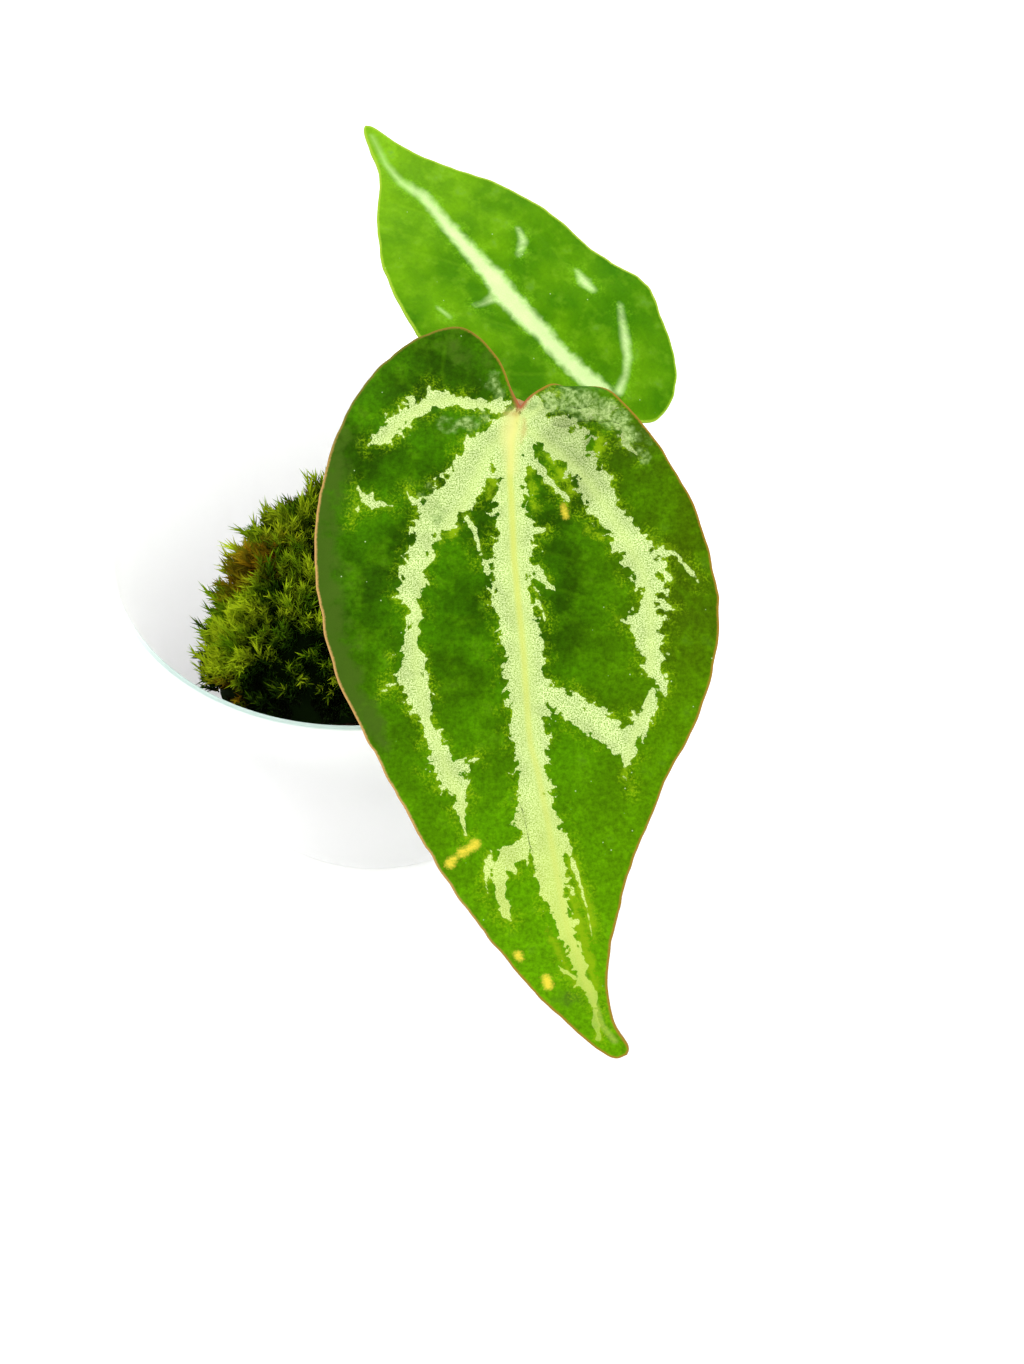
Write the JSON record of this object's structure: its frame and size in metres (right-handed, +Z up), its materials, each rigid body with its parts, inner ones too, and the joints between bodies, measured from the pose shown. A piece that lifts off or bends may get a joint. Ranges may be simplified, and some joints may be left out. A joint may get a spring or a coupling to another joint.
{
  "type": "potted silver blush anthurium",
  "caption": "Young heart-leaved foliage plant with silver-veined blades on slender stalks, rooted in a mossy plug that stands in a plain round white plastic pot.",
  "frame": {"origin": "middle of the pot's flat underside", "axes": "+Z up through the pot's mouth, -Y towards the front, where the large leaf hangs"},
  "size_m": [0.1039, 0.1454, 0.1089],
  "materials": {
    "white_plastic": "satin moulded plastic",
    "potting_mix": "loose bark and fibre, matt",
    "live_moss": "damp feathery shoots, matt",
    "stem_and_roots": "waxy skin",
    "dry_sheath": "dry, papery",
    "stalk_front": "waxy skin",
    "stalk_back": "waxy skin",
    "leaf_front": "velvety, with granular silver veins",
    "leaf_back": "velvety, with granular silver veins"
  },
  "bodies": {
    "root": {"pot": "white_plastic", "root_ball": "potting_mix", "moss": "live_moss", "crown": "stem_and_roots", "cataphyll": "dry_sheath", "petiole_front": "stalk_front", "petiole_back": "stalk_back", "blade_front": "leaf_front", "blade_back": "leaf_back"}
  },
  "joints": []
}
